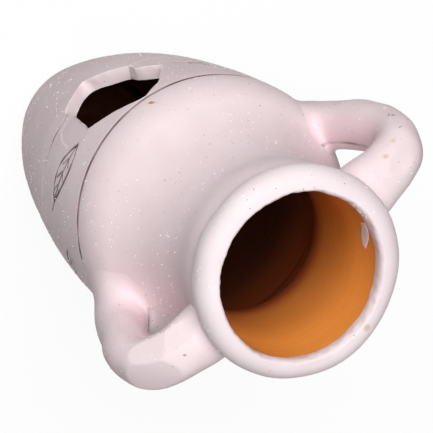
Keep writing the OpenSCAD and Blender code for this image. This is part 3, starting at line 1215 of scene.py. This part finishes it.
# %% Both handles
handle_plans = {
    "handle_left_roll": dict(
        side=-1,
        rise=3.0,
        reach=left_reach,
        thick=[8.4, 8.0, 7.4, 7.2, 7.3, 7.5, 7.8],
        wide=[9.4, 8.9, 8.3, 8.2, 7.9, 7.9, 8.4],
        welds=(3.5, 9.0, 4.0),
        presses=[
            ((59, -4, 169), (-1.7, 0.2, -0.3), 17),
            ((53, 7, 150), (0.35, 0.4, -0.1), 24),
            ((31, -8, 182), (0.15, -0.9, 0.45), 13),
            ((44, -6, 180), (-0.2, 0.7, -0.4), 12),
        ],
        cuts=[((43, 2, 184.6), (0.3, 0.2, 1), 13, 1)],
        crease=[(37.5, -0.2, 138.9), (39.8, -0.9, 139), (42.4, -0.6, 146.5), (44.5, -0.4, 158)],
        stains=[((-41.5, -6.3, 183.4), 1.2), ((-46.8, -7.1, 180.6), 1.0)],
        pits=[((-53.3, -7.8, 167.9), 0.7), ((-54.1, -7.5, 169.2), 0.8), ((-51.9, -7.1, 176.9), 0.6)],
        stands_for=["handle_left", "left_upper_weld", "left_lower_weld"],
    ),
    "handle_right_roll": dict(
        side=1,
        rise=10.0,
        reach=right_reach,
        thick=[7.9, 7.7, 7.5, 7.4, 7.5, 8.0, 8.2],
        wide=[8.7, 8.5, 8.4, 8.3, 8.2, 8.2, 8.6],
        welds=(4.6, 12.0, 11.7),
        presses=[
            ((57, 1, 165), (-0.7, 0, 0.1), 16),
            ((56, -5, 159), (0.9, -0.5, -0.3), 12),
            ((51, 6, 178), (-0.4, -0.4, -0.1), 14),
            ((54, -5, 151), (-0.8, 0.5, 0.4), 16),
            ((31, 8, 181), (0.1, 1.0, 0.4), 13),
        ],
        cuts=[
            ((48, -6.5, 175.6), (0.28, -0.86, 0.43), 12, 1),
            ((39, -6.2, 181), (0.13, -0.8, 0.57), 16, 1),
            ((49.5, -1, 178), (0.72, 0.05, 0.69), 18, 0.7),
        ],
        crease=[(35.5, 1.5, 143), (37, 4, 142.2), (38.5, 6, 142), (39.5, 7.5, 141.4), (40, 10, 138)],
        stains=[((52.5, 5, 172), 0.9)],
        pits=[((39.6, -1.5, 185.1), 0.25)],
        stands_for=["handle_right", "right_upper_weld", "right_lower_weld"],
    ),
}
handle_left, handle_right = [handle_piece(name, **plan) for name, plan in handle_plans.items()]

# %% [markdown]
# ## Floor and joining coils
# The base is a disc of clay with the arcs of the cutting string underneath. A coil was smeared into
# the corner above it, and another was pressed over the joint of belly and shoulder. All three are
# bare clay and are seen through the mouth and the window.

# %% Floor disc
inner_turns = np.radians(np.arange(-180, 180, 2.0))
wheel_depth = 0.35
wheel_step = 6.5
string_depth = 0.14
string_step = 2.2
string_from = (60, 25)


def floor_disc():
    """A thick disc: lower face with off-centre string arcs, upper face with a wheel spiral."""
    upper_r = np.linspace(float(body_radius(floor_top)) - wall + 0.5, 0.6, 36)
    lower_r = np.linspace(0.6, foot_r - foot_round - 1.0, 60)
    radius = np.concatenate([lower_r, upper_r])[:, None]
    below = np.arange(len(radius))[:, None] < len(lower_r)
    points = round_axis(radius, inner_turns, np.where(below, 0.5, floor_top))
    away = np.hypot(points[..., 0] - string_from[0], points[..., 1] - string_from[1])
    arcs = string_depth * np.sin(away * 2 * np.pi / string_step)
    spiral = wheel_depth * np.sin(radius * 2 * np.pi / wheel_step - inner_turns)
    points[..., 2] += np.where(below, arcs, spiral) * soft_step(radius, 1.0, 4.0)
    return points


base = make_piece("base_disc", *capped_tube(floor_disc()), [clay], "bare_clay", stands_for=["floor"])
set_sharp(base, 50)

# %% Joining coils
seam_half = 6.4
seam_thick = 1.4
seam_presses = 15
corner_high = 6.0
corner_presses = 9


def seam_coil():
    """Lens-shaped band on the inside wall, pressed with the fingers in a row of soft dents."""
    share = np.linspace(-1, 1, 21)[:, None]
    height = seam_z - 0.6 + seam_half * share
    outer = body_radius(height) - wall + 0.6
    press = 0.85 + 0.15 * np.cos(seam_presses * inner_turns)
    inner = outer - 0.5 - seam_thick * (1 - share**2) ** 2 * press
    face = round_axis(inner, inner_turns, height)
    return np.concatenate([face, round_axis(outer[::-1], inner_turns, height[::-1])])


def corner_coil():
    """Hollow fillet in the corner of floor and wall, slightly uneven."""
    share = np.linspace(0, np.pi / 2, 13)[:, None]
    wall_in = float(body_radius(floor_top)) - wall + 0.4
    lift = 0.5 * np.sin(corner_presses * inner_turns) * np.sin(2 * share)
    radius = wall_in + 0.5 - corner_high * (1 - np.sin(share)) - lift
    face = round_axis(radius, inner_turns, floor_top + corner_high * (1 - np.cos(share)))
    behind = np.array([[wall_in + 1.5, floor_top + corner_high], [wall_in - corner_high, floor_top - 1.0]])
    return np.concatenate([face, round_axis(behind[:, :1], inner_turns, behind[:, 1:])])


coil = seam_coil()
coil_faces = loop_faces(coil, turned=True)
seam = make_piece("seam_coil", coil, coil_faces, [clay], "bare_clay", stands_for=["body_seam_coil"])
cut_window(seam, 50)
cutter_mesh = cutter.data
bpy.data.objects.remove(cutter)
bpy.data.meshes.remove(cutter_mesh)
fillet = corner_coil()
fillet_faces = loop_faces(fillet, turned=True)
make_piece("corner_coil", fillet, fillet_faces, [clay], "bare_clay", stands_for=["floor_coil"])

# %% [markdown]
# ## A splash of slip in the mouth
# Below the torn edge, on the far side of the mouth, one splash of slip dried on the clay. It is a
# thin drop on the bore, thickest in its middle.

# %% Splash
splash_corners = [
    (-97.5, 186.4), (-96, 189.4), (-103.5, 189), (-111, 187.5), (-120.5, 184.2), (-118, 182.6), (-110, 183),
]
splash_thick = 0.3


def splash():
    """Rings from the middle out to the splash's outline on the bore, the last one sunk into it, and
    a hidden ring behind."""
    corner = np.array(splash_corners, float)
    line = np.vstack([corner, corner[:1]])
    place = np.linspace(0, len(corner), 64, endpoint=False)
    line = np.stack([np.interp(place, np.arange(len(line)), column) for column in line.T], axis=1)
    middle = line.mean(axis=0)
    share = np.linspace(0.08, 1.0, 10)[:, None]
    spot = middle + share[..., None] * (line - middle)
    radius = bore_r + bore_flare(spot[..., 1]) - splash_thick * np.sqrt(1 - share**4) + 0.2 * (share > 0.99)
    rings = round_axis(radius, np.radians(spot[..., 0]), spot[..., 1])
    hidden = round_axis(lip_in + 0.6, np.radians(line[:, 0]), line[:, 1])
    return np.concatenate([rings, hidden[None]])


splash_points, splash_faces = capped_tube(splash())
make_piece("slip_splash", lean_mouth(splash_points), splash_faces, [slip], "slip_coat")

# %% [markdown]
# ## Sand in the slip
# Coarse sand stands out of the slip in drifts, as rounded white grains half sunk in the wall. Each
# grain is one icosahedron of its own size and shape. They lie where a smooth random field is high,
# and none lies in the broken window or on the flaked patch.

# %% Places of the grains


def inside_outline(x, z, corners):
    """Even-odd rule: inside where a line to the right crosses the outline an odd number of times."""
    a = np.array(corners, float)
    b = np.roll(a, -1, axis=0)
    x, z = x[:, None], z[:, None]
    spans = (a[:, 1] > z) != (b[:, 1] > z)
    crossing = a[:, 0] + (z - a[:, 1]) * (b[:, 0] - a[:, 0]) / (b[:, 1] - a[:, 1])
    return np.sum(spans & (x < crossing), axis=1) % 2 == 1


def draw_sizes(draw, count, least, spread):
    """Half sizes of grains, mostly near the least, each grain drawn out its own way."""
    size = least + spread * draw.uniform(0, 1, (count, 1)) ** 2
    return size * draw.uniform(0.7, 1.2, (count, 3))


def body_grains(tries, seed):
    """Seeded places on the outside of belly, shoulder and neck, thinned to drifts, with sizes."""
    draw = np.random.default_rng(seed)
    turns = draw.uniform(-np.pi, np.pi, tries)
    heights = draw.uniform(20, rim_z - 4, tries)
    radius = body_radius(heights)
    places = round_axis(radius, turns, heights)
    drift = 0.4 * unevenness(places, 24, 79) + draw.normal(0, 0.5, tries)
    hole = inside_outline(places[:, 0], heights, window_outside) & (places[:, 1] < 0)
    patch = inside_share(turns, heights, flake, 2.0) > 0
    kept = (drift > 0.42) & ~hole & ~patch & (np.abs(heights - seam_z) > 1.2)
    places = places[kept]
    radius = radius[kept] + hand_made(places)
    places[:, :2] *= (radius / np.hypot(places[:, 0], places[:, 1]))[:, None]
    return places, draw_sizes(draw, len(places), 0.13, 0.15)


def piece_grains(piece, count, seed, centre=None, reach=0.0):
    """Seeded places on a finished piece, taken from its points that stand outside the body, or
    from those within reach of a centre, with sizes."""
    points = np.empty(len(piece.data.vertices) * 3)
    piece.data.vertices.foreach_get("co", points)
    points = points.reshape(-1, 3) / MM
    if centre is None:
        chosen = outside_body(points) - 0.6 > 0
    else:
        chosen = reach - np.linalg.norm(points - centre, axis=1) > 0
    draw = np.random.default_rng(seed)
    places = draw.choice(points[chosen], count, replace=False)
    return places, draw_sizes(draw, count, 0.12, 0.13)


grain_sets = [
    body_grains(9000, 77),
    piece_grains(handle_left, 170, 81),
    piece_grains(handle_right, 170, 82),
    piece_grains(rim, 160, 83),
    piece_grains(rim, 26, 84, (-24.2, -3.5, 193.3), 4.5),
    piece_grains(belly, 14, 85, (-14, -40, 85.5), 3.5),
    piece_grains(belly, 18, 86, (-20, -38.5, 100.5), 4.0),
]
grain_spots, grain_sizes = (np.concatenate(part) for part in zip(*grain_sets))
print(len(grain_spots), "grains of sand")

# %% Sand grains
ball = bmesh.new()
bmesh.ops.create_icosphere(ball, subdivisions=1, radius=1.0)
ball_points = np.array([vertex.co for vertex in ball.verts])
ball_faces = np.array([[vertex.index for vertex in face.verts] for face in ball.faces])
ball.free()

grain_points = grain_spots[:, None] + grain_sizes[:, None] * ball_points
grain_faces = np.arange(len(grain_spots))[:, None, None] * len(ball_points) + ball_faces
grain_marks = {"grain": np.ones(grain_points.shape[:2])}
make_piece("sand_grains", grain_points, grain_faces, [slip], "slip_coat", marks=grain_marks)

# %% [markdown]
# ## The studio
# A pale floor carries the vase. Camera rays see it white with a trace of shadow, while other rays
# meet a plain grey surface. A soft lamp in front, a weaker one beside the camera and a dim one
# behind light the vase at a plain level.

# %% Floor and surround
half_floor = 3000.0
floor_lines = 9
floor_seen = (0.95, 0.95, 0.95)
floor_grey = (0.4, 0.4, 0.4)
floor_white = 0.92
surround_level = 0.1


def seen_rays(tree, kinds):
    """1 for rays of any of these kinds, 0 for all others."""
    rays = add_node(tree, "ShaderNodeLightPath")
    seen = rays.outputs[f"Is {kinds[0]} Ray"]
    for kind in kinds[1:]:
        seen = calculate(tree, "MAXIMUM", seen, rays.outputs[f"Is {kind} Ray"])
    return seen


def floor_material():
    """Pale floor: a diffuse surface, mixed with plain white where the camera looks."""
    material = bpy.data.materials.new("studio_floor")
    material.use_nodes = True
    tree = material.node_tree
    tree.nodes.remove(tree.nodes["Principled BSDF"])
    pale = add_node(tree, "ShaderNodeBsdfDiffuse")
    white = add_node(tree, "ShaderNodeEmission", in_Color=(1, 1, 1, 1), in_Strength=1.0)
    seen = seen_rays(tree, ("Camera", "Glossy", "Transmission"))
    tree.links.new(tint(tree, seen, floor_seen, floor_grey), pale.inputs["Color"])
    mix = add_node(tree, "ShaderNodeMixShader")
    mixed = (calculate(tree, "MULTIPLY", seen, floor_white), pale.outputs[0], white.outputs[0])
    for socket, value in zip(mix.inputs, mixed):
        tree.links.new(value, socket)
    tree.links.new(mix.outputs[0], tree.nodes["Material Output"].inputs["Surface"])
    return material


floor_line = np.linspace(-half_floor, half_floor, floor_lines)
floor_x, floor_y = np.meshgrid(floor_line, floor_line)
floor_points = np.stack([floor_x, floor_y, 0 * floor_x], axis=-1)
floor_faces = grid_faces(floor_lines, floor_lines, close_columns=False)
mesh_object("studio_floor", floor_points, [floor_faces], [floor_material()])

world = bpy.data.worlds.new("surround")
bpy.context.scene.world = world
world.use_nodes = True
sky = world.node_tree
level = ramp(sky, seen_rays(sky, ("Camera", "Transmission")), 0.0, 1.0, surround_level, 1.0)
sky.nodes["Background"].inputs["Color"].default_value = (1, 1, 1, 1)
sky.links.new(level, sky.nodes["Background"].inputs["Strength"])
print("floor half width", half_floor * MM, "m")

# %% Lamps
lamp_aim = Vector((0, 0, 0.13))
lamps = [
    ("key_lamp", (-0.12, -0.54, 0.83), 1.3, 0.8, 13.6),
    ("side_lamp", (0.13, -0.43, 0.89), 1.3, 0.8, 6.5),
    ("back_lamp", (0.3, 1.0, 0.35), 1.5, 0.9, 6),
]


def soft_lamp(name, direction, distance, size, watts):
    """Square area lamp at a distance in a direction from the shoulder, facing the vase."""
    lamp = bpy.data.lights.new(name, "AREA")
    lamp.shape = "SQUARE"
    lamp.size = size
    lamp.energy = watts
    holder = add_object(name, lamp)
    holder.location = lamp_aim + Vector(direction).normalized() * distance
    holder.rotation_euler = (lamp_aim - holder.location).to_track_quat("-Z", "Y").to_euler()


for lamp in lamps:
    soft_lamp(*lamp)
bpy.context.scene.view_settings.view_transform = "Standard"
print(len(lamps), "lamps")
